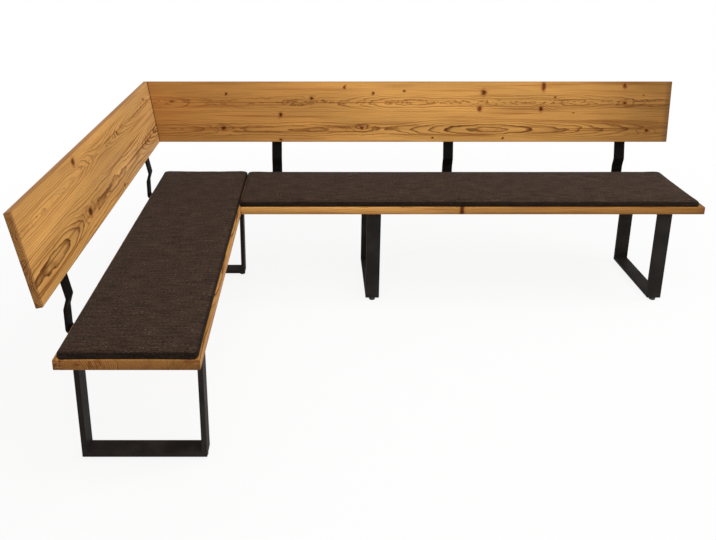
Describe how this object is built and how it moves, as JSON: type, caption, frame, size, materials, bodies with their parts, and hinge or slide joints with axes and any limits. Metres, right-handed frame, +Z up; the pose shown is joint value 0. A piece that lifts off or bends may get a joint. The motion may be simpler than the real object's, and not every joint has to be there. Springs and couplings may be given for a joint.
{
  "type": "corner bench",
  "caption": "L-shaped corner bench: solid wood seats and leaning mitred backrests on closed steel leg frames, with cranked back brackets, levelling feet and loose seat pads.",
  "frame": {"origin": "centre of the bounding box on the floor, under the feet", "axes": "+X along the long seat to its free end, +Y to the rear, +Z up; the side seat comes forward along -Y at the -X end"},
  "size_m": [2.4041, 1.5792, 0.8643],
  "materials": {
    "seat_wood": "oiled softwood, eased edges",
    "backrest_wood": "oiled softwood with knots",
    "pad_fabric": "dark brown heather weave",
    "leg_powder_coat": "matt black powder coat",
    "bracket_powder_coat": "matt black powder coat",
    "foot_plastic": "black nylon",
    "zinc_steel": "zinc plated",
    "black_screws": "black oxide"
  },
  "bodies": {
    "bench": {"side_seat": "seat_wood", "long_seat": "seat_wood", "side_backrest": "backrest_wood", "long_backrest": "backrest_wood", "side_leg_runner": "leg_powder_coat", "side_leg_top_bar": "leg_powder_coat", "side_leg_rear_post": "leg_powder_coat", "side_leg_front_post": "leg_powder_coat", "corner_leg_runner": "leg_powder_coat", "corner_leg_top_bar": "leg_powder_coat", "corner_leg_rear_post": "leg_powder_coat", "corner_leg_front_post": "leg_powder_coat", "middle_leg_runner": "leg_powder_coat", "middle_leg_top_bar": "leg_powder_coat", "middle_leg_rear_post": "leg_powder_coat", "middle_leg_front_post": "leg_powder_coat", "right_leg_runner": "leg_powder_coat", "right_leg_top_bar": "leg_powder_coat", "right_leg_rear_post": "leg_powder_coat", "right_leg_front_post": "leg_powder_coat", "side_front_bracket": "bracket_powder_coat", "side_corner_bracket": "bracket_powder_coat", "long_left_bracket": "bracket_powder_coat", "long_middle_bracket": "bracket_powder_coat", "long_right_bracket": "bracket_powder_coat", "rear_joint_plate": "zinc_steel", "front_joint_plate": "zinc_steel", "leg_bolts": "black_screws", "leg_inserts": "zinc_steel", "bracket_seat_screws": "black_screws", "bracket_back_screws": "black_screws", "plate_screws": "zinc_steel"},
    "side_leg_rear_foot": {"side_leg_rear_foot_pad": "foot_plastic", "side_leg_rear_foot_stud": "zinc_steel"},
    "side_leg_front_foot": {"side_leg_front_foot_pad": "foot_plastic", "side_leg_front_foot_stud": "zinc_steel"},
    "corner_leg_rear_foot": {"corner_leg_rear_foot_pad": "foot_plastic", "corner_leg_rear_foot_stud": "zinc_steel"},
    "corner_leg_front_foot": {"corner_leg_front_foot_pad": "foot_plastic", "corner_leg_front_foot_stud": "zinc_steel"},
    "middle_leg_rear_foot": {"middle_leg_rear_foot_pad": "foot_plastic", "middle_leg_rear_foot_stud": "zinc_steel"},
    "middle_leg_front_foot": {"middle_leg_front_foot_pad": "foot_plastic", "middle_leg_front_foot_stud": "zinc_steel"},
    "right_leg_rear_foot": {"right_leg_rear_foot_pad": "foot_plastic", "right_leg_rear_foot_stud": "zinc_steel"},
    "right_leg_front_foot": {"right_leg_front_foot_pad": "foot_plastic", "right_leg_front_foot_stud": "zinc_steel"},
    "side_cushion": {"side_pad": "pad_fabric"},
    "long_cushion": {"long_pad": "pad_fabric"}
  },
  "joints": [
    {"name": "side_leg_rear_foot_screw", "type": "slide", "parent": "bench", "child": "side_leg_rear_foot", "axis": [0, 0, -1], "range_m": [0, 0.008]},
    {"name": "side_leg_front_foot_screw", "type": "slide", "parent": "bench", "child": "side_leg_front_foot", "axis": [0, 0, -1], "range_m": [0, 0.008]},
    {"name": "corner_leg_rear_foot_screw", "type": "slide", "parent": "bench", "child": "corner_leg_rear_foot", "axis": [0, 0, -1], "range_m": [0, 0.008]},
    {"name": "corner_leg_front_foot_screw", "type": "slide", "parent": "bench", "child": "corner_leg_front_foot", "axis": [0, 0, -1], "range_m": [0, 0.008]},
    {"name": "middle_leg_rear_foot_screw", "type": "slide", "parent": "bench", "child": "middle_leg_rear_foot", "axis": [0, 0, -1], "range_m": [0, 0.008]},
    {"name": "middle_leg_front_foot_screw", "type": "slide", "parent": "bench", "child": "middle_leg_front_foot", "axis": [0, 0, -1], "range_m": [0, 0.008]},
    {"name": "right_leg_rear_foot_screw", "type": "slide", "parent": "bench", "child": "right_leg_rear_foot", "axis": [0, 0, -1], "range_m": [0, 0.008]},
    {"name": "right_leg_front_foot_screw", "type": "slide", "parent": "bench", "child": "right_leg_front_foot", "axis": [0, 0, -1], "range_m": [0, 0.008]},
    {"name": "side_cushion_lift", "type": "slide", "parent": "bench", "child": "side_cushion", "axis": [0, 0, 1], "range_m": [0, 0.25]},
    {"name": "long_cushion_lift", "type": "slide", "parent": "bench", "child": "long_cushion", "axis": [0, 0, 1], "range_m": [0, 0.25]}
  ]
}
